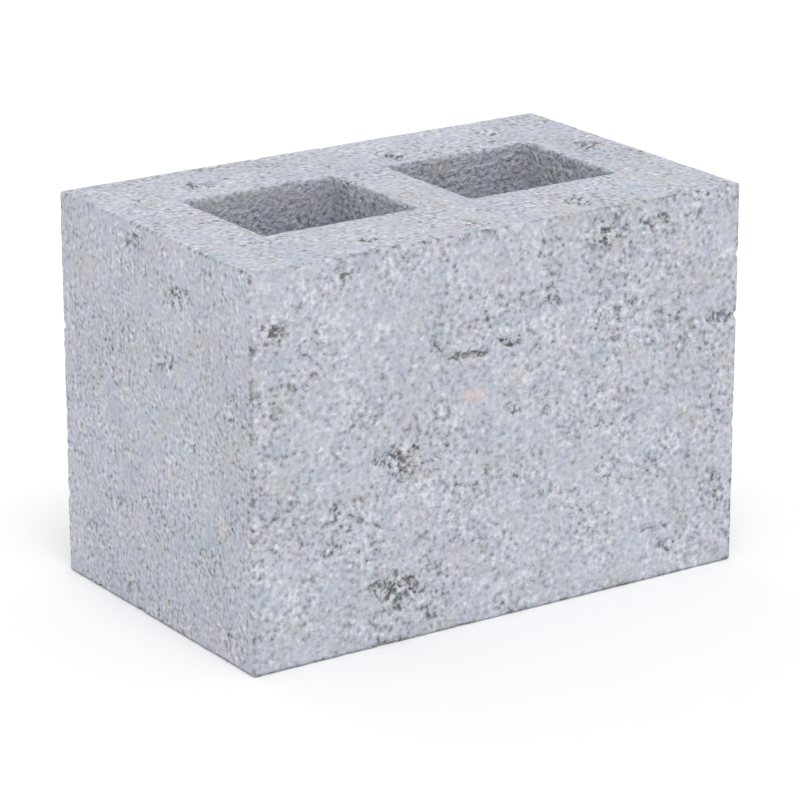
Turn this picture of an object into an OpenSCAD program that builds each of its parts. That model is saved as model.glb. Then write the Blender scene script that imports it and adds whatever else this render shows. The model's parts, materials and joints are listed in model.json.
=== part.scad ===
// Hollow concrete building block, cast in one piece, with two cells that run straight through it.
// Millimetres. +X along the block, +Y through its thickness, +Z up.
// The origin is the middle of the lower bed face.

/* [Block] */
// Length of the block
block_l = 390; // [300:5:600]
// Width of the block, which is the thickness of the wall it builds
block_w = 240; // [200:5:400]
// Height of the block
block_h = 270; // [90:5:400]

/* [Shells and web] */
// Thickness of each of the two long face shells
face_shell_t = 70; // [30:1:85]
// Thickness of each of the two end shells
end_shell_t = 55; // [30:1:75]
// Thickness of the web between the two cells
web_t = 45; // [20:1:75]

/* [Edges] */
// Radius of the block's outer arrises
arris_r = 2; // [0.5:0.5:6]
// Radius of the upright corners inside each cell
cell_corner_r = 2; // [1:0.5:10]
// Width of the bevel round each cell mouth, top and bottom
mouth_bevel_w = 1.5; // [0.5:0.5:5]

/* [Hidden] */
$fn = 48;
// How far a cutting shape runs past the face it opens
overrun = 1;
// Clear length and width of each cell
cell_l = (block_l - 2 * end_shell_t - web_t) / 2;
cell_w = block_w - 2 * face_shell_t;
// Distance of each cell's middle from the middle of the web
cell_x = (cell_l + web_t) / 2;
// Height of the tool that cuts a mouth's 45 degree bevel
flare_h = mouth_bevel_w + overrun;
concrete_colour = [0.73, 0.75, 0.78];

// Rectangle with its four corners rounded
module rounded_rectangle(l, w, r) {
    square([l - 2 * r, w], center = true);
    square([l, w - 2 * r], center = true);
    for (x = [-1, 1], y = [-1, 1])
        translate([x * (l / 2 - r), y * (w / 2 - r)]) circle(r);
}

// Outside of the block: one rounded section along each axis, so all twelve arrises are rounded
module outer_form() {
    translate([0, 0, block_h / 2])
        intersection() {
            linear_extrude(block_h, center = true)
                rounded_rectangle(block_l, block_w, arris_r);
            rotate([90, 0, 0]) linear_extrude(block_w, center = true)
                rounded_rectangle(block_l, block_h, arris_r);
            rotate([90, 0, 90]) linear_extrude(block_l, center = true)
                rounded_rectangle(block_w, block_h, arris_r);
        }
}

// Bar that widens upwards at 45 degrees on its two long sides
module flared_bar(bottom_w, bar_l) {
    half_w = bottom_w / 2;
    rotate([90, 0, 0]) linear_extrude(bar_l, center = true)
        polygon([
            [-half_w, 0],
            [half_w, 0],
            [half_w + flare_h, flare_h],
            [-half_w - flare_h, flare_h]
        ]);
}

// The cell's own section, widening upwards at 45 degrees all round
module mouth_flare() {
    straight_l = cell_l - 2 * cell_corner_r;
    straight_w = cell_w - 2 * cell_corner_r;
    flared_bar(cell_l, straight_w);
    rotate([0, 0, 90]) flared_bar(cell_w, straight_l);
    for (x = [-1, 1], y = [-1, 1])
        translate([x * straight_l / 2, y * straight_w / 2, 0])
            cylinder(h = flare_h, r1 = cell_corner_r, r2 = cell_corner_r + flare_h);
}

// Everything that one cell takes out of the block
module cell() {
    translate([0, 0, -overrun]) linear_extrude(block_h + 2 * overrun)
        rounded_rectangle(cell_l, cell_w, cell_corner_r);
    translate([0, 0, block_h - mouth_bevel_w]) mouth_flare();
    translate([0, 0, mouth_bevel_w]) mirror([0, 0, 1]) mouth_flare();
}

module block() {
    color(concrete_colour)
        difference() {
            outer_form();
            for (side = [-1, 1])
                translate([side * cell_x, 0, 0]) cell();
        }
}

block();
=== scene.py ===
"""Looks of the hollow concrete block: worn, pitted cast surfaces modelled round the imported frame."""

import json
import math

import bmesh
import bpy
import numpy as np
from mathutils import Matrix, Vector


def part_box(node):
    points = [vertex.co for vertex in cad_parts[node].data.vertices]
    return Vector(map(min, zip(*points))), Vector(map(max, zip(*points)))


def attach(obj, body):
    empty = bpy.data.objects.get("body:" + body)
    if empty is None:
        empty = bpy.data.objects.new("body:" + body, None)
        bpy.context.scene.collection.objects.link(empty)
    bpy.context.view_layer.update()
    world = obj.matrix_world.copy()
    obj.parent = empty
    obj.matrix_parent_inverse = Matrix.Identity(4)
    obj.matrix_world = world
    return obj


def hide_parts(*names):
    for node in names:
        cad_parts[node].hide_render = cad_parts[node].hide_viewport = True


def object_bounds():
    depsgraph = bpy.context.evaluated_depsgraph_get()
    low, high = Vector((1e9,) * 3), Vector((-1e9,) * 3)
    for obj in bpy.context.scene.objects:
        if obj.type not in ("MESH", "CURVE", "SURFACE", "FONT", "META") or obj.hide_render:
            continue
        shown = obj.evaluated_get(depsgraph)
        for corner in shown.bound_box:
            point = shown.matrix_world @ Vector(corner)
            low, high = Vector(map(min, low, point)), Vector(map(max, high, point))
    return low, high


MM = 0.001

# ---- Form: the rounded edges of the cast block -----------------------------------------------------
ARRIS_R = 2.0 * MM          # radius of the outer arrises
MOUTH_R = 1.6 * MM          # radius of the arrises round the cell mouths
CELL_CORNER_R = 2.0 * MM    # radius of the upright corners inside a cell

# ---- Mesh ------------------------------------------------------------------------------------------
GRID_STEP = 1.05 * MM       # spacing of the grid on which the relief is first modelled
ONTO_FORM_STEPS = 3         # how often that grid is pulled onto the rounded form
MOST_TRIANGLES = 192_000    # what the thinned mesh may hold
FOLD = math.radians(95)     # neighbouring triangles that turn more than this are a fold
MOST_UNFOLDING = 12         # how often folds are evened out at most
SLOPE_STEP = 0.2 * MM       # spacing over which a slope of the form is measured
WEAR_TURN = 5 * MM          # what the direction of wear turns over, past an arris's own radius

# ---- Camera ----------------------------------------------------------------------------------------
CAMERA_AZIMUTH = -34.1      # degrees, 0 looks along +Y
CAMERA_ELEVATION = 18.15    # degrees above the horizon
CAMERA_DISTANCE = 2.62      # from the block's middle
CAMERA_LENS = 173.1         # mm, on the default 36 mm sensor
AIM_RIGHT = -0.8 * MM       # the camera's axis passes this far right of the block's middle
AIM_UP = -14.8 * MM         # and this far above it

# ---- Light and floor -------------------------------------------------------------------------------
WORLD_STRENGTH = 0.735      # of the even light from all round
LIGHT_SPREAD = 30           # degrees, how wide each lamp looks from the block
KEY_DIRECTION = (0.14, 0.36, -0.92)
KEY_STRENGTH = 1.1
FILL_DIRECTION = (0, -0.97, -0.22)
FILL_STRENGTH = 0.45
FLOOR_HALF = 12.0

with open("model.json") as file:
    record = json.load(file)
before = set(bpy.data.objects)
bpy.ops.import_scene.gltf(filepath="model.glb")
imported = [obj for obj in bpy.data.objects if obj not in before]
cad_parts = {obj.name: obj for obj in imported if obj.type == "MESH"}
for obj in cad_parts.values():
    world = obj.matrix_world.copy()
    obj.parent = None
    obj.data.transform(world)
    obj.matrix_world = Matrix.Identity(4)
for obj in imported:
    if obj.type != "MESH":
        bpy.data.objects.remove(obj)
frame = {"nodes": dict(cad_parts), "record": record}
cad_lo, cad_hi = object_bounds()


# ---- The block's form, as a distance function ------------------------------------------------------

def cell_walls(node, opening):
    """(low x, high x, low y, high y) of the cell that a stated opening lies in, found on the CAD node."""
    lo, hi = (Vector(corner) for corner in opening["box_m"])
    middle = (lo + hi) / 2
    found = []
    for direction in ((-1, 0, 0), (1, 0, 0), (0, -1, 0), (0, 1, 0)):
        hit, place, _, _ = node.ray_cast(middle, direction)
        if not hit:
            raise RuntimeError(f"no wall round opening {opening['name']}")
        found.append(place.x if direction[0] else place.y)
    return tuple(found)


block_lo, block_hi = (np.array(corner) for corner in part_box("block"))
openings = frame["record"]["physics"]["openings"]
CELLS = sorted(cell_walls(frame["nodes"]["block"], opening) for opening in openings)


def outer_distance(points, radius):
    """Distance outside the outer box with its arrises rounded, negative inside it."""
    centre, half = (block_lo + block_hi) / 2, (block_hi - block_lo) / 2
    past = np.abs(points - centre) - (half - radius)
    return np.linalg.norm(np.maximum(past, 0), axis=1) + np.minimum(past.max(1), 0) - radius


def cell_distance(points):
    """Distance outside the nearest cell's walls, negative inside a cell."""
    nearest = np.full(len(points), np.inf)
    for x0, x1, y0, y1 in CELLS:
        centre = np.array([x0 + x1, y0 + y1]) / 2
        half = np.array([x1 - x0, y1 - y0]) / 2
        past = np.abs(points[:, :2] - centre) - (half - CELL_CORNER_R)
        away = np.linalg.norm(np.maximum(past, 0), axis=1) + np.minimum(past.max(1), 0)
        nearest = np.minimum(nearest, away - CELL_CORNER_R)
    return nearest


def form_distance(points, rounder=0.0):
    """Distance outside the clean block: the outer box less its cells, with rounded mouths.

    `rounder` is added to the radii of its arrises and mouths.
    """
    outside, in_cell = outer_distance(points, ARRIS_R + rounder), -cell_distance(points)
    mouth = MOUTH_R + rounder
    rounded = np.hypot(np.maximum(outside + mouth, 0), np.maximum(in_cell + mouth, 0))
    return np.minimum(-mouth, np.maximum(outside, in_cell)) + rounded


def form_slope(points, rounder=0.0):
    """Unit outward direction of the clean block at each point."""
    slope = np.empty_like(points)
    for axis in range(3):
        step = np.zeros(3)
        step[axis] = SLOPE_STEP
        slope[:, axis] = form_distance(points + step, rounder) - form_distance(points - step, rounder)
    return slope / np.maximum(np.linalg.norm(slope, axis=1, keepdims=True), 1e-12)


def arris_distance(points):
    """Distance along the surface to the nearest outer arris or cell mouth."""
    to_faces = np.minimum(points - block_lo, block_hi - points)
    to_cell = np.maximum(cell_distance(points), 0)
    return np.sort(np.column_stack([to_faces, to_cell]), axis=1)[:, 1]


# ---- Random fields ---------------------------------------------------------------------------------

SMALLEST_PIT = 0.45         # radius of the smallest pit, as a share of the largest one's


def ease(t):
    """Makes a straight run from 0 to 1 start and end gently."""
    return t * t * (3 - 2 * t)


def smooth(x, low, high):
    """0 up to low, 1 from high on, and a smooth step between; low may be the larger of the two."""
    return ease(np.clip((x - low) / (high - low), 0, 1))


def in_cubes(points, side):
    """The space round the block cut into cubes: how many each way, and the points' places in them."""
    low = block_lo - 2 * side
    count = np.ceil((block_hi - low) / side).astype(int) + 3
    places = (points - low) / side
    return count, places, np.floor(places).astype(int)


def noise(points, size, seed):
    """Smooth random field from -1 to 1 with lumps about `size` across."""
    count, places, cube = in_cubes(points, size)
    lattice = np.random.default_rng(seed).uniform(-1, 1, count)
    t = ease(places - cube)
    total = np.zeros(len(points))
    for corner in np.ndindex(2, 2, 2):
        share = np.prod(np.where(corner, t, 1 - t), axis=1)
        i, j, k = (cube + corner).T
        total += share * lattice[i, j, k]
    return total


def layered_noise(points, size, seed, layers=3):
    """Sum of ever finer noise, each layer half the size and half the strength."""
    return sum(noise(points, size / 2 ** n, seed + n) / 2 ** n for n in range(layers))


def random_push(points, size, reach, seed):
    """Random offsets of up to `reach` along each axis, which change over about `size`."""
    return np.column_stack([noise(points, size, seed + axis) for axis in range(3)]) * reach


def scattered_pits(points, spacing, share, radius, seed):
    """Depth, in radii, of round-bottomed pits set one to a cube of side `spacing`, in a share of them."""
    count, places, cube = in_cubes(points, spacing)
    draw = np.random.default_rng(seed)
    centres = draw.random((*count, 3))
    radii = radius * draw.uniform(SMALLEST_PIT, 1, count) * (draw.random(count) < share)
    depth = np.zeros(len(points))
    for step in np.ndindex(3, 3, 3):
        near = cube + step - 1
        i, j, k = near.T
        away = np.linalg.norm(places - near - centres[i, j, k], axis=1) * spacing
        reach = radii[i, j, k]
        inside = away < reach
        bowl = np.zeros(len(points))
        bowl[inside] = 1 - (away[inside] / reach[inside]) ** 2
        depth = np.maximum(depth, bowl * reach / radius)
    return depth


# ---- Relief: how far the worn surface lies inside the clean one ------------------------------------

# The sides of the block that the lists below give places on, in mm
FRONT_Y = round(block_lo[1] / MM)
LEFT_X = round(block_lo[0] / MM)
TOP_Z = round(block_hi[2] / MM)

# Crumbled patches of open concrete: middle x, y and z, half width and half height, all in mm, and
# how far they have crumbled
PATCHES = [
    (-79, FRONT_Y, 124, 20, 14, 1.0),
    (-85, FRONT_Y, 38, 20, 16, 1.0),
    (-177, FRONT_Y, 227, 14, 10, 1.0),
    (-155, FRONT_Y, 215, 7, 7, 0.8),
    (-30, FRONT_Y, 187, 24, 4, 0.9),
    (6, FRONT_Y, 191, 13, 4, 0.7),
    (183, FRONT_Y, 178, 15, 5, 0.9),
    (85, FRONT_Y, 250, 18, 11, 0.8),
    (125, FRONT_Y, 255, 13, 7, 0.7),
    (90, FRONT_Y, 200, 28, 15, 0.35),
    (43, FRONT_Y, 78, 22, 10, 0.5),
    (85, FRONT_Y, 88, 13, 11, 0.5),
    (10, FRONT_Y, 145, 6, 7, 0.7),
    (80, FRONT_Y, 122, 10, 7, 0.5),
    (35, FRONT_Y, 210, 9, 8, 0.5),
    (35, FRONT_Y, 143, 10, 8, 0.4),
    (-128, FRONT_Y, 97, 13, 10, 0.45),
    (-92, FRONT_Y, 85, 14, 9, 0.4),
    (-125, FRONT_Y, 257, 8, 6, 0.5),
    (175, FRONT_Y, 57, 13, 12, 0.5),
    (138, FRONT_Y, 22, 9, 9, 0.6),
    (127, FRONT_Y, 37, 16, 4, 0.5),
    (111, FRONT_Y, 65, 7, 6, 0.5),
    (LEFT_X, -30, 233, 19, 10, 1.0),
    (LEFT_X, 23, 257, 15, 7, 1.0),
    (LEFT_X, -13, 185, 13, 9, 0.9),
    (LEFT_X, -95, 177, 8, 10, 0.8),
    (LEFT_X, -42, 137, 12, 8, 0.6),
    (LEFT_X, 50, 73, 11, 9, 0.7),
    (LEFT_X, 33, 17, 12, 8, 0.8),
    (LEFT_X, -90, 15, 10, 8, 0.6),
    (-108, 78, TOP_Z, 12, 8, 1.0),
    (42, 72, TOP_Z, 12, 8, 1.0),
    (133, 92, TOP_Z, 13, 8, 1.0),
    (-88, -94, TOP_Z, 11, 8, 1.0),
    (-12, -101, TOP_Z, 11, 8, 0.9),
    (78, -94, TOP_Z, 12, 8, 1.0),
    (-165, 60, TOP_Z, 11, 8, 0.8),
    (170, 20, TOP_Z, 11, 8, 0.9),
]

# Short crevices in the front face: x and z of both ends and half the width, in mm
CREVICES = [
    (-53, 202, -50, 193, 1.0),
    (-50, 190, -43, 187, 1.4),
    (-37, 190, -31, 189, 1.1),
    (-30, 188, -21, 187, 1.4),
    (-21, 187, -11, 188, 1.8),
    (-8, 199, -4, 194, 1.2),
    (-4, 194, 3, 190, 1.5),
    (3, 190, 12, 188, 1.7),
    (168, 185, 180, 180, 1.4),
    (180, 180, 195, 177, 1.9),
    (-93, 135, -88, 129, 1.2),
    (-83, 125, -75, 126, 1.5),
    (-75, 126, -65, 128, 1.8),
    (-71, 134, -66, 127, 1.5),
    (-82, 115, -78, 117, 1.2),
    (-83, 33, -79, 28, 1.9),
    (-79, 28, -80, 23, 1.9),
    (-76, 32, -79, 28, 1.4),
    (-101, 43, -94, 45, 1.2),
    (-74, 44, -69, 39, 1.3),
    (-69, 39, -70, 32, 1.4),
    (-180, 235, -175, 231, 1.3),
    (-178, 227, -172, 228, 1.5),
    (-170, 233, -170, 223, 1.5),
    (115, 36, 140, 38, 0.9),
    (80, 255, 82, 243, 1.2),
    (29, 218, 30, 212, 1.0),
    (43, 215, 46, 210, 1.0),
]

# Slow swells and fine grain all over
SWELL_SIZE = 38 * MM
SWELL_DEPTH = 0.25 * MM
GRAIN_SIZE = 4.5 * MM
GRAIN_DEPTH = 0.12 * MM

# Single pits, which are bent out of round
PIT_SPACING = 8 * MM
PIT_SHARE = 0.5
PIT_R = 2.1 * MM
PIT_DEPTH = 1.2 * MM
BEND_SIZE = 3 * MM
BEND = 1.1 * MM

# Crumbled patches, in which clods stand up
PATCH_DEPTH = 2.4 * MM
CLOD_SPACING = 5 * MM
CLOD_R = 4.6 * MM
PATCH_RIM = 1.3             # where a patch ends and where it is deepest, in its half widths
PATCH_BED = 0.35
RAGGED = 0.45               # how far its outline strays, in its half widths
RAGGED_SIZE = 7 * MM
STREWN_SPACING = 52 * MM    # of the patches on the sides that the lists leave out
STREWN_SHARE = 0.9
STREWN_R = 24 * MM
NEAR_LISTED = 3 * MM        # how near the listed sides they end, and from where on they are whole
CLEAR_OF_LISTED = 12 * MM

# Crevices, which wander and break off
CREVICE_DEPTH = 2.0 * MM
CREVICE_RIM = 1.6           # where a crevice ends and where it is deepest, in its half widths
CREVICE_BED = 0.2
CREVICE_BACK = 10           # mm, how far behind the front face they fade out
WANDER_SIZE = 8 * MM
WANDER = 1.6 * MM
BREAK_SIZE = 4 * MM

# Wear and chips along the arrises
ARRIS_WEAR = 0.45 * MM
ARRIS_WEAR_WIDTH = 3.5 * MM
ARRIS_WEAR_SIZE = 4 * MM
CHIP_DEPTH = 2.0 * MM
CHIP_WIDTH = 5 * MM
CHIP_SIZE = 11 * MM
CHIP_FROM = 0.62            # strength of the noise that starts a chip, and of a full one
CHIP_FULL = 1.2


def patch_share(points):
    """1 in the middle of a crumbled patch, 0 away from all of them."""
    ragged = RAGGED * noise(points, RAGGED_SIZE, 44)
    listed_sides = np.array([LEFT_X, FRONT_Y, TOP_Z]) * MM
    from_listed = np.abs(points - listed_sides).min(1)
    strewn = scattered_pits(points, STREWN_SPACING, STREWN_SHARE, STREWN_R, 40) - ragged
    share = smooth(strewn, 0.15, 0.9) * smooth(from_listed, NEAR_LISTED, CLEAR_OF_LISTED)
    for x, y, z, across, tall, strength in PATCHES:
        off = (points - np.array([x, y, z]) * MM) / (np.array([across, across, tall]) * MM)
        reach = np.linalg.norm(off, axis=1) + ragged
        share = np.maximum(share, strength * smooth(reach, PATCH_RIM, PATCH_BED))
    return share


def crevice_share(points):
    """1 along the middle of each crevice in the front face, 0 away from them."""
    share = np.zeros(len(points))
    back = FRONT_Y + CREVICE_BACK
    in_front = smooth(points[:, 1], (back + 2) * MM, (back - 2) * MM)
    flat = points[:, [0, 2]]
    for x0, z0, x1, z1, half_width in CREVICES:
        start, run = np.array([x0, z0]) * MM, np.array([x1 - x0, z1 - z0]) * MM
        along = np.clip((flat - start) @ run / (run @ run), 0, 1)
        away = np.linalg.norm(flat - start - along[:, None] * run, axis=1)
        rim, bed = half_width * CREVICE_RIM * MM, half_width * CREVICE_BED * MM
        share = np.maximum(share, smooth(away, rim, bed))
    broken = smooth(noise(points, BREAK_SIZE, 47), -0.7, 0.5)
    return share * in_front * broken


def relief(points):
    """Depth of the worn surface below the clean one, never negative."""
    bent = points + random_push(points, BEND_SIZE, BEND, 10)
    wander = random_push(points, WANDER_SIZE, WANDER, 14)
    swell = 0.5 + 0.5 * noise(points, SWELL_SIZE, 20)
    grain = 0.5 + 0.5 * layered_noise(points, GRAIN_SIZE, 23, 2)
    pits = scattered_pits(bent, PIT_SPACING, PIT_SHARE, PIT_R, 30)
    gaps = 1 - scattered_pits(bent, CLOD_SPACING, 1.0, CLOD_R, 50)
    edge = arris_distance(points)
    uneven = 0.5 + 0.5 * layered_noise(points, ARRIS_WEAR_SIZE, 60, 2)
    wear = smooth(edge, ARRIS_WEAR_WIDTH, 0) * uneven
    chipped = smooth(layered_noise(points, CHIP_SIZE, 70, 3), CHIP_FROM, CHIP_FULL)
    chips = smooth(edge, CHIP_WIDTH, 0) * chipped
    return (
        SWELL_DEPTH * swell
        + GRAIN_DEPTH * grain
        + PIT_DEPTH * pits
        + PATCH_DEPTH * patch_share(points) * gaps
        + CREVICE_DEPTH * crevice_share(bent + wander)
        + ARRIS_WEAR * wear
        + CHIP_DEPTH * chips
    )


# ---- Mesh ------------------------------------------------------------------------------------------

def grid_lines(*stops):
    """Evenly spaced lines between neighbouring stops, about GRID_STEP apart, with a line at each stop."""
    runs = [
        np.linspace(a, b, round((b - a) / GRID_STEP), endpoint=False)
        for a, b in zip(stops, stops[1:])
    ]
    return np.concatenate([*runs, stops[-1:]])


def block_grid():
    """Vertices and outward quads of the sharp-edged block, on a fine grid."""
    (ax0, ax1, ay0, ay1), (bx0, bx1, _, _) = CELLS
    lines = [
        grid_lines(block_lo[0], ax0, ax1, bx0, bx1, block_hi[0]),
        grid_lines(block_lo[1], ay0, ay1, block_hi[1]),
        grid_lines(block_lo[2], block_hi[2]),
    ]
    mid_x, mid_y = ((run[1:] + run[:-1]) / 2 for run in lines[:2])
    hollow = np.zeros((len(mid_x), len(mid_y)), bool)
    for x0, x1, y0, y1 in CELLS:
        hollow |= np.outer((mid_x > x0) & (mid_x < x1), (mid_y > y0) & (mid_y < y1))
    filled = np.repeat(~hollow[:, :, None], len(lines[2]) - 1, axis=2)
    filled = np.pad(filled, 1)
    quads = []
    for axis in range(3):
        after = np.roll(filled, -1, axis)
        first, second = np.eye(3, dtype=int)[[(axis + 1) % 3, (axis + 2) % 3]]
        for faces, (u, v) in ((filled & ~after, (first, second)), (~filled & after, (second, first))):
            start = np.argwhere(faces) - first - second
            quads.append(start[:, None, :] + np.array([0 * u, u, u + v, v]))
    corners = np.concatenate(quads).reshape(-1, 3)
    shape = [len(run) for run in lines]
    used, faces = np.unique(np.ravel_multi_index(corners.T, shape), return_inverse=True)
    i, j, k = np.unravel_index(used, shape)
    points = np.column_stack([lines[0][i], lines[1][j], lines[2][k]])
    return points, faces.reshape(-1, 4)


def worn_points(points):
    """Sharp grid points pulled onto the rounded form and then worn down by the relief.

    The relief goes in along directions that turn slowly past the arrises, so deep chips don't cross.
    """
    for _ in range(ONTO_FORM_STEPS):
        points = points - form_slope(points) * form_distance(points)[:, None]
    return points - form_slope(points, WEAR_TURN) * relief(points)[:, None]


def mesh_from(name, points, faces):
    """A mesh of equal-sided faces from arrays."""
    mesh = bpy.data.meshes.new(name)
    sides = faces.shape[1]
    mesh.vertices.add(len(points))
    mesh.vertices.foreach_set("co", points.astype(np.float32).ravel())
    mesh.loops.add(faces.size)
    mesh.loops.foreach_set("vertex_index", faces.astype(np.int32).ravel())
    mesh.polygons.add(len(faces))
    mesh.polygons.foreach_set("loop_start", np.arange(0, faces.size, sides, dtype=np.int32))
    mesh.update(calc_edges=True)
    return mesh


def thinned(mesh):
    """The mesh with its triangles gathered where the relief needs them."""
    full = bpy.data.objects.new("full_grid", mesh)
    bpy.context.scene.collection.objects.link(full)
    thin = full.modifiers.new("thin", "DECIMATE")
    thin.ratio = MOST_TRIANGLES / (2 * len(mesh.polygons))
    thin.use_collapse_triangulate = True
    graph = bpy.context.evaluated_depsgraph_get()
    made = bpy.data.meshes.new_from_object(full.evaluated_get(graph))
    bpy.data.objects.remove(full)
    bpy.data.meshes.remove(mesh)
    return made


def unfold(mesh):
    """Evens out the few spots where thinning has folded the surface onto itself."""
    work = bmesh.new()
    work.from_mesh(mesh)
    for _ in range(MOST_UNFOLDING):
        folded = [edge for edge in work.edges if edge.calc_face_angle(0) > FOLD]
        corners = {corner for edge in folded for face in edge.link_faces for corner in face.verts}
        if not corners:
            break
        bmesh.ops.smooth_vert(
            work, verts=list(corners), factor=0.5, use_axis_x=True, use_axis_y=True, use_axis_z=True
        )
        work.normal_update()
    work.to_mesh(mesh)
    work.free()


def vertex_points(mesh):
    """The mesh's vertices as rows of an array."""
    points = np.empty(len(mesh.vertices) * 3, np.float32)
    mesh.vertices.foreach_get("co", points)
    return points.reshape(-1, 3).astype(float)


def block_mesh():
    """The worn block, with what its material needs to know of each spot, and its texture map."""
    points, faces = block_grid()
    mesh = thinned(mesh_from("concrete_block_grid", worn_points(points), faces))
    mesh.name = "concrete_block"
    unfold(mesh)
    mesh.polygons.foreach_set("use_smooth", np.ones(len(mesh.polygons), bool))
    points = np.clip(vertex_points(mesh), block_lo, block_hi)
    mesh.vertices.foreach_set("co", points.astype(np.float32).ravel())
    fields = {
        "depth_mm": -form_distance(points) / MM,
        "edge_mm": arris_distance(points) / MM,
        "patch": patch_share(points),
    }
    for name, values in fields.items():
        made = mesh.attributes.new(name, "FLOAT", "POINT")
        made.data.foreach_set("value", values.astype(np.float32))
    add_map(mesh)
    return mesh


# ---- Texture map: the sides of the block and of its cells, laid out in rows in one square ----------

MAP_NAME = "OFBake"         # name of the block's texture map; the exporter bakes through a map of this name
MAP_MARGIN = 4 * MM
MISMATCH = 6 * MM           # what a face turned at right angles to a side counts as being away from it


def side_of(lo, hi, axis, normal, turned=False):
    """One flat side of the box from lo to hi, facing along `axis` if normal is 1, against it if -1."""
    facing, up = np.zeros(3), np.eye(3)[1 if axis == 2 else 2]
    facing[axis] = normal
    across = np.cross(up, facing)
    return {"facing": facing, "across": across, "up": up, "lo": lo, "hi": hi, "turned": turned}


def flat_sides():
    """Rows of the sides of the block and of its cells, each row laid out from left to right."""
    outer = {}
    for axis in range(3):
        for normal, level in ((-1, block_lo), (1, block_hi)):
            lo, hi = block_lo.copy(), block_hi.copy()
            lo[axis] = hi[axis] = level[axis]
            outer[axis, normal] = side_of(lo, hi, axis, normal)
    long_walls, short_walls = [], []
    for x0, x1, y0, y1 in CELLS:
        for y, normal in ((y0, 1), (y1, -1)):
            lo, hi = np.array([x0, y, block_lo[2]]), np.array([x1, y, block_hi[2]])
            long_walls.append(side_of(lo, hi, 1, normal))
        for x, normal in ((x0, 1), (x1, -1)):
            lo, hi = np.array([x, y0, block_lo[2]]), np.array([x, y1, block_hi[2]])
            short_walls.append(side_of(lo, hi, 0, normal, turned=len(short_walls) > 0))
    return [
        [outer[1, -1], outer[1, 1], long_walls[0]],
        [outer[0, -1], outer[0, 1], *long_walls[1:]],
        [outer[2, -1], outer[2, 1], short_walls[0]],
        short_walls[1:],
    ]


def map_places(points, side):
    """Where points lie on the flattened side, from its lower left corner."""
    edges = np.array([side["lo"], side["hi"]])
    flat = np.column_stack([points @ side["across"], points @ side["up"]])
    corners = np.column_stack([edges @ side["across"], edges @ side["up"]])
    flat, size = flat - corners.min(0), np.ptp(corners, axis=0)
    if side["turned"]:
        flat, size = np.column_stack([size[1] - flat[:, 1], flat[:, 0]]), size[::-1]
    return flat, size


def add_map(mesh):
    """Gives each triangle its place on the side of the block it belongs to."""
    points = vertex_points(mesh)
    corners = np.empty(len(mesh.loops), np.int32)
    mesh.loops.foreach_get("vertex_index", corners)
    triangles = points[corners.reshape(-1, 3)]
    middles = triangles.mean(1)
    normals = np.cross(triangles[:, 1] - triangles[:, 0], triangles[:, 2] - triangles[:, 0])
    normals /= np.maximum(np.linalg.norm(normals, axis=1, keepdims=True), 1e-15)
    rows = flat_sides()
    away = [
        np.linalg.norm(middles - np.clip(middles, side["lo"], side["hi"]), axis=1)
        + MISMATCH * (1 - normals @ side["facing"])
        for row in rows for side in row
    ]
    owner = np.repeat(np.argmin(away, axis=0), 3)
    places = np.zeros((len(corners), 2))
    number, bottom, widest = 0, MAP_MARGIN, 0
    for row in rows:
        left, tallest = MAP_MARGIN, 0
        for side in row:
            mine = owner == number
            flat, size = map_places(points[corners[mine]], side)
            places[mine] = flat + (left, bottom)
            number += 1
            left += size[0] + MAP_MARGIN
            tallest = max(tallest, size[1])
        bottom += tallest + MAP_MARGIN
        widest = max(widest, left)
    places /= max(widest, bottom)
    made = mesh.uv_layers.new(name=MAP_NAME)
    made.data.foreach_set("uv", places.astype(np.float32).ravel())


# ---- Materials -------------------------------------------------------------------------------------

# Sizes of the parts that make up the tone of the concrete
SAND_SIZE = 3.5 * MM        # the sandy grain all over
CALM_SIZE = 30 * MM         # stretches where that grain is stronger or weaker
SPECK_SIZE = 4.5 * MM       # how far apart the small dark specks are
CRUMB_SIZE = 8 * MM         # uneven tone, from small lumps to broad ones
LUMP_SIZE = 18 * MM
BROAD_SIZE = 70 * MM
CLOD_SIZE = 7.5 * MM        # clods in crumbled patches, with dark strokes between them

# How much each part moves the tone, up to pale or down to dark
SAND = 1.46
SPECK = -0.28
CRUMB = 0.22
LUMP = 0.22
BROAD = 0.34
STROKE = -0.32
ROUGH = 1.1                 # what the sandy grain gains in crumbled patches
PATCH = 0.06                # crumbled patches as a whole
HOLLOW_PAINTED_SHADE = -0.22              # painted shade at the bottoms of deep places
EDGE_WEAR_AND_PAINTED_SHADE = -0.18                # along the arrises: partly wear, partly painted shade that marks the edges

# Colours that lie over the tone
TINT_SIZE = 11 * MM         # lilac and blue patches
TINT_SHARE = 0.4
WARMTH_SIZE = 20 * MM       # warm and cold patches
WARMTH_SHARE = 0.42
CREAM_SHARE = 0.6           # the palest clods
WHITE_GRAIN_SIZE = 8 * MM
WHITE_GRAIN_RAGGED = 5 * MM
WHITE_GRAIN_SHARE = 0.75

BUMP_STRENGTH = 0.8
BUMP_HEIGHT = 1.6 * MM

# Sockets of a colour mix, which share their names with those for numbers and vectors
FIRST_COLOUR = 6
SECOND_COLOUR = 7
MIXED_COLOUR = 2


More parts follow.
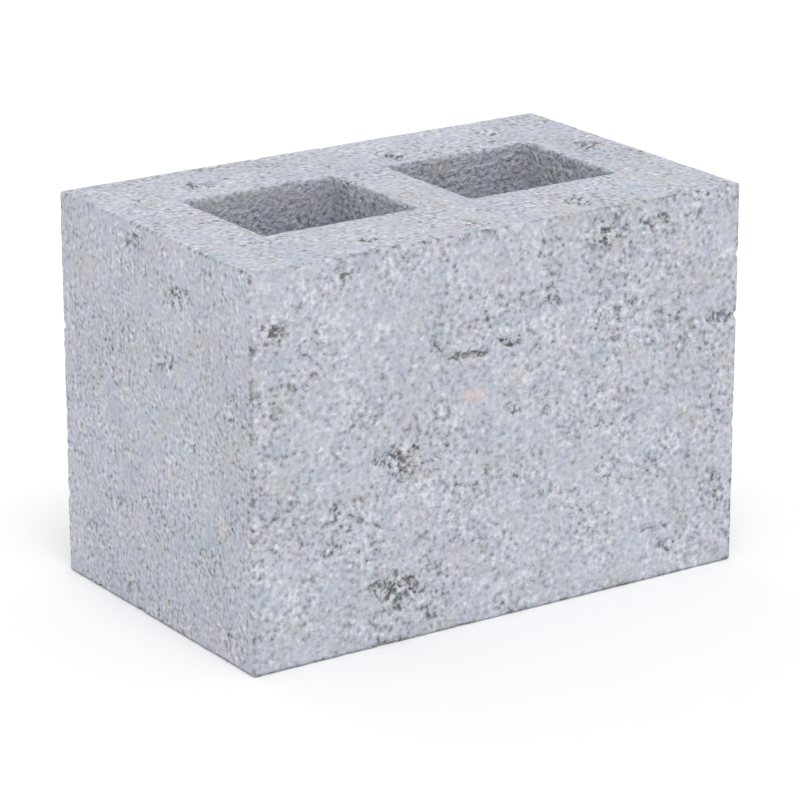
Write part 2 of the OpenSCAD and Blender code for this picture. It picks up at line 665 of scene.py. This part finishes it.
class Nodes:
    """Short ways to add the shader nodes of one material."""

    def __init__(self, material):
        material.use_nodes = True
        self.tree = material.node_tree
        self.tree.nodes.clear()
        self.shader = self.add("ShaderNodeBsdfPrincipled")
        output = self.add("ShaderNodeOutputMaterial")
        self.tree.links.new(self.shader.outputs["BSDF"], output.inputs["Surface"])
        self.place = self.add("ShaderNodeTexCoord").outputs["Object"]

    def add(self, kind, **settings):
        """A new node with the given settings."""
        node = self.tree.nodes.new(kind)
        for name, value in settings.items():
            setattr(node, name, value)
        return node

    def fill(self, socket, value):
        """Links a socket to a shader output, or sets it to a plain value."""
        if isinstance(value, bpy.types.NodeSocket):
            self.tree.links.new(value, socket)
        else:
            socket.default_value = value

    def math(self, operation, *values):
        """The result of an operation on numbers or shader outputs."""
        node = self.add("ShaderNodeMath", operation=operation)
        for socket, value in zip(node.inputs, values):
            self.fill(socket, value)
        return node.outputs[0]

    def step(self, value, low, high, to_low=0.0, to_high=1.0):
        """Smooth step from to_low to to_high as value goes from low to high."""
        node = self.add("ShaderNodeMapRange", interpolation_type="SMOOTHSTEP")
        self.fill(node.inputs["Value"], value)
        self.fill(node.inputs["From Min"], low)
        self.fill(node.inputs["From Max"], high)
        self.fill(node.inputs["To Min"], to_low)
        self.fill(node.inputs["To Max"], to_high)
        return node.outputs["Result"]

    def noise(self, size, detail=2.0, seed=0):
        """Noise from 0 to 1 with lumps about `size` metres across; each seed gives another field."""
        node = self.add("ShaderNodeTexNoise")
        self.fill(node.inputs["Vector"], self.moved(seed))
        node.inputs["Scale"].default_value = 1 / size
        node.inputs["Detail"].default_value = detail
        return node.outputs["Fac"]

    def grains(self, size, seed=0, ragged=0.0):
        """Distance from the middle of the nearest grain, in sizes, and a random colour for that grain.

        Its outline is pushed to and fro by up to half of `ragged`.
        """
        place = self.moved(seed)
        if ragged:
            push = self.add("ShaderNodeTexNoise")
            self.fill(push.inputs["Vector"], place)
            push.inputs["Scale"].default_value = 2.5 / size
            push = self.vector("SUBTRACT", push.outputs["Color"], (0.5, 0.5, 0.5))
            place = self.vector("ADD", place, self.vector("MULTIPLY", push, (ragged, ragged, ragged)))
        node = self.add("ShaderNodeTexVoronoi")
        self.fill(node.inputs["Vector"], place)
        node.inputs["Scale"].default_value = 1 / size
        return node.outputs["Distance"], node.outputs["Color"]

    def moved(self, seed):
        """The place on the block, moved far off so that fields of different seeds differ."""
        return self.vector("ADD", self.place, (0.37 * seed, 0.73 * seed, 0.51 * seed))

    def vector(self, operation, *values, result="Vector"):
        """The result of an operation on vectors or shader outputs."""
        node = self.add("ShaderNodeVectorMath", operation=operation)
        for socket, value in zip(node.inputs, values):
            self.fill(socket, value)
        return node.outputs[result]

    def ramp(self, value, stops):
        """Colour that runs through (position, colour) stops."""
        node = self.add("ShaderNodeValToRGB")
        points = node.color_ramp.elements
        while len(points) < len(stops):
            points.new(1.0)
        for point, (position, colour) in zip(points, stops):
            point.position = position
            point.color = colour
        self.fill(node.inputs["Fac"], value)
        return node.outputs["Color"]

    def total(self, start, *parts):
        """start plus each (value, weight)."""
        for value, weight in parts:
            start = self.math("MULTIPLY_ADD", value, weight, start)
        return start

    def mix(self, share, first, second):
        """The first colour, with a share of the second one over it."""
        node = self.add("ShaderNodeMix", data_type="RGBA")
        self.fill(node.inputs["Factor"], share)
        self.fill(node.inputs[FIRST_COLOUR], first)
        self.fill(node.inputs[SECOND_COLOUR], second)
        return node.outputs[MIXED_COLOUR]


def srgb(red, green, blue):
    """Shader colour of an 8-bit screen colour."""
    linear = [
        v / 12.92 if v <= 0.04045 else ((v + 0.055) / 1.055) ** 2.4
        for v in (red / 255, green / 255, blue / 255)
    ]
    return (*linear, 1.0)


CONCRETE_TONES = [
    (0.0, srgb(104, 105, 103)),
    (0.16, srgb(142, 144, 146)),
    (0.32, srgb(173, 176, 184)),
    (0.44, srgb(188, 191, 201)),
    (0.56, srgb(195, 198, 209)),
    (0.72, srgb(208, 211, 220)),
    (0.92, srgb(230, 232, 238)),
]

LILAC = srgb(198, 188, 203)
SEA_BLUE = srgb(178, 193, 203)
WARM_GREY = srgb(194, 193, 190)
COLD_BLUE = srgb(177, 185, 206)
CREAM = srgb(223, 223, 219)
WHITE_GRAIN = srgb(232, 234, 236)
TAN = srgb(226, 206, 198)
WHITE = srgb(240, 241, 243)

# Single grains and stains: middle x, y and z, half width and half height in mm, share and colour
SPOTS = [
    (-24, FRONT_Y, 160, 12, 5, 0.55, TAN),
    (LEFT_X, -83, 92, 6, 6, 0.5, TAN),
    (75, 50, 215, 9, 6, 0.6, TAN),
    (-54, FRONT_Y, 184, 4, 3, 0.5, WHITE),
    (17, FRONT_Y, 163, 3, 4, 0.45, WHITE),
    (182, FRONT_Y, 222, 4, 3, 0.5, WHITE),
    (-78, FRONT_Y, 134, 6, 3, 0.5, WHITE),
    (18, FRONT_Y, 27, 4, 3, 0.45, WHITE),
    (-15, FRONT_Y, 28, 5, 3, 0.5, WHITE),
]


def concrete_tone(n, patch, sand, crumb, clod):
    """How high and how pale each spot is: peaks are pale, gaps between grains dark, deep places darker
    with painted shade, arrises darker with wear and painted shade.
    """
    depth = n.add("ShaderNodeAttribute", attribute_name="depth_mm").outputs["Fac"]
    edge = n.add("ShaderNodeAttribute", attribute_name="edge_mm").outputs["Fac"]
    away, which = n.grains(SPECK_SIZE, seed=9)
    speck = n.step(away, n.step(which, 0.3, 0.75, to_high=0.44), 0.0)
    lump = n.noise(LUMP_SIZE, seed=3)
    broad = n.noise(BROAD_SIZE, 1.0, seed=4)
    calm = n.noise(CALM_SIZE, 1.0, seed=10)
    contrast = n.step(calm, 0.35, 0.65, 0.78, 1.22)
    grit = n.math("MULTIPLY", contrast, n.math("SUBTRACT", sand, 0.5))
    beside = n.math("ABSOLUTE", n.math("SUBTRACT", clod, 0.5))
    strokes = n.math("MULTIPLY", patch, n.step(beside, 0.07, 0.0))
    rough = n.math("MULTIPLY", patch, n.math("SUBTRACT", sand, 0.5))
    # painted shade: darker at the bottoms of pits, crevices and crumbled patches
    hollow = n.step(depth, 1.1, 2.4)
    # wear and painted shade: darker along the arrises and cell mouths, which marks the edges
    worn = n.step(edge, 3.0, 1.0)
    return n.total(
        0.5 - 0.5 * (CRUMB + LUMP + BROAD),
        (grit, SAND),
        (crumb, CRUMB),
        (lump, LUMP),
        (broad, BROAD),
        (speck, SPECK),
        (rough, ROUGH),
        (strokes, STROKE),
        (patch, PATCH),
        (hollow, HOLLOW_PAINTED_SHADE),
        (worn, EDGE_WEAR_AND_PAINTED_SHADE),
    )


def tinted(n, colour):
    """The colour with faint lilac, blue and warm patches."""
    tint = n.noise(TINT_SIZE, seed=5)
    warmth = n.noise(WARMTH_SIZE, 3.0, seed=6)
    colour = n.mix(n.step(tint, 0.5, 0.75, to_high=TINT_SHARE), colour, LILAC)
    colour = n.mix(n.step(tint, 0.5, 0.25, to_high=TINT_SHARE), colour, SEA_BLUE)
    colour = n.mix(n.step(warmth, 0.5, 0.72, to_high=WARMTH_SHARE), colour, WARM_GREY)
    return n.mix(n.step(warmth, 0.5, 0.28, to_high=WARMTH_SHARE), colour, COLD_BLUE)


def with_white_grains(n, colour):
    """The colour with single ragged white grains strewn over it."""
    away, which = n.grains(WHITE_GRAIN_SIZE, seed=7, ragged=WHITE_GRAIN_RAGGED)
    white = n.math("MULTIPLY", n.step(away, 0.3, 0.08), n.step(which, 0.56, 0.78))
    return n.mix(n.math("MULTIPLY", white, WHITE_GRAIN_SHARE), colour, WHITE_GRAIN)


def with_spots(n, colour, ragged):
    """The colour with the listed grains and stains, whose outlines follow `ragged`."""
    for x, y, z, across, tall, share, paint in SPOTS:
        off = n.vector("SUBTRACT", n.place, (x * MM, y * MM, z * MM))
        off = n.vector("DIVIDE", off, (across * MM, across * MM, tall * MM))
        reach = n.math("ADD", n.vector("LENGTH", off, result="Value"), ragged)
        colour = n.mix(n.step(reach, 1.9, 0.9, to_high=share), colour, paint)
    return colour


def concrete():
    """Pale blue-grey cast concrete: sandy grain, dark gaps between grains, white and tan grains."""
    material = bpy.data.materials.new("concrete")
    n = Nodes(material)
    patch = n.add("ShaderNodeAttribute", attribute_name="patch").outputs["Fac"]
    sand = n.noise(SAND_SIZE, 1.4, seed=1)
    crumb = n.noise(CRUMB_SIZE, seed=2)
    clod = n.noise(CLOD_SIZE, seed=11)
    tone = concrete_tone(n, patch, sand, crumb, clod)

    colour = tinted(n, n.ramp(tone, CONCRETE_TONES))
    pale = n.math("MULTIPLY", patch, n.step(clod, 0.56, 0.64))
    colour = n.mix(n.math("MULTIPLY", pale, CREAM_SHARE), colour, CREAM)
    colour = with_white_grains(n, colour)
    colour = with_spots(n, colour, n.total(0.0, (crumb, 0.6), (sand, 0.6)))
    n.fill(n.shader.inputs["Base Color"], colour)

    n.fill(n.shader.inputs["Roughness"], n.step(sand, 0.3, 0.7, 0.97, 0.86))
    n.shader.inputs["Specular IOR Level"].default_value = 0.25

    bump = n.add("ShaderNodeBump")
    bump.inputs["Strength"].default_value = BUMP_STRENGTH
    bump.inputs["Distance"].default_value = BUMP_HEIGHT
    n.fill(bump.inputs["Height"], tone)
    n.fill(n.shader.inputs["Normal"], bump.outputs["Normal"])
    return material


def floor_paint():
    """Matt near-white studio floor."""
    material = bpy.data.materials.new("floor_paint")
    n = Nodes(material)
    n.shader.inputs["Base Color"].default_value = (0.97, 0.97, 0.97, 1.0)
    n.shader.inputs["Roughness"].default_value = 1.0
    n.shader.inputs["Specular IOR Level"].default_value = 0.0
    return material


# ---- Studio ----------------------------------------------------------------------------------------

def add_floor():
    """A wide flat floor under the block."""
    mesh = bpy.data.meshes.new("floor")
    corners = [
        (-FLOOR_HALF, -FLOOR_HALF, 0),
        (FLOOR_HALF, -FLOOR_HALF, 0),
        (FLOOR_HALF, FLOOR_HALF, 0),
        (-FLOOR_HALF, FLOOR_HALF, 0),
    ]
    mesh.from_pydata(corners, [], [(0, 1, 2, 3)])
    mesh.materials.append(floor_paint())
    floor = bpy.data.objects.new("floor", mesh)
    floor.location.z = cad_lo.z
    bpy.context.scene.collection.objects.link(floor)


def add_world():
    """Even light from all round, and pure white where the camera looks past the floor."""
    world = bpy.data.worlds.new("studio")
    world.use_nodes = True
    tree = world.node_tree
    background = tree.nodes["Background"]
    background.inputs["Color"].default_value = (1.0, 1.0, 1.0, 1.0)
    strength = tree.nodes.new("ShaderNodeMath")
    strength.operation = "MULTIPLY_ADD"
    strength.inputs[1].default_value = 1 - WORLD_STRENGTH
    strength.inputs[2].default_value = WORLD_STRENGTH
    seen = tree.nodes.new("ShaderNodeLightPath").outputs["Is Camera Ray"]
    tree.links.new(seen, strength.inputs[0])
    tree.links.new(strength.outputs[0], background.inputs["Strength"])
    bpy.context.scene.world = world


def add_soft_light(name, direction, strength):
    """A broad far-off lamp that shines the given way."""
    lamp = bpy.data.lights.new(name, "SUN")
    lamp.angle = math.radians(LIGHT_SPREAD)
    lamp.energy = strength
    light = bpy.data.objects.new(name, lamp)
    light.rotation_euler = Vector(direction).to_track_quat("-Z", "Y").to_euler()
    bpy.context.scene.collection.objects.link(light)


def add_camera():
    """The camera, which looks at a point beside the block's middle."""
    azimuth, elevation = math.radians(CAMERA_AZIMUTH), math.radians(CAMERA_ELEVATION)
    back = Vector((
        math.sin(azimuth) * math.cos(elevation),
        -math.cos(azimuth) * math.cos(elevation),
        math.sin(elevation),
    ))
    turn = (-back).to_track_quat("-Z", "Y")
    aim = (cad_lo + cad_hi) / 2 + turn @ Vector((AIM_RIGHT, AIM_UP, 0))
    data = bpy.data.cameras.new("camera")
    data.lens = CAMERA_LENS
    data.clip_end = 100
    camera = bpy.data.objects.new("camera", data)
    camera.location = aim + back * CAMERA_DISTANCE
    camera.rotation_mode = "QUATERNION"
    camera.rotation_quaternion = turn
    bpy.context.scene.collection.objects.link(camera)
    bpy.context.scene.camera = camera


# ---- Scene -----------------------------------------------------------------------------------------

bpy.context.scene.view_settings.view_transform = "Standard"
add_camera()
add_world()
add_floor()
add_soft_light("key_light", KEY_DIRECTION, KEY_STRENGTH)
add_soft_light("fill_light", FILL_DIRECTION, FILL_STRENGTH)

mesh = block_mesh()
mesh.materials.append(concrete())
piece = bpy.data.objects.new("concrete_block", mesh)
bpy.context.scene.collection.objects.link(piece)
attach(piece, "root")
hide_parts("block")
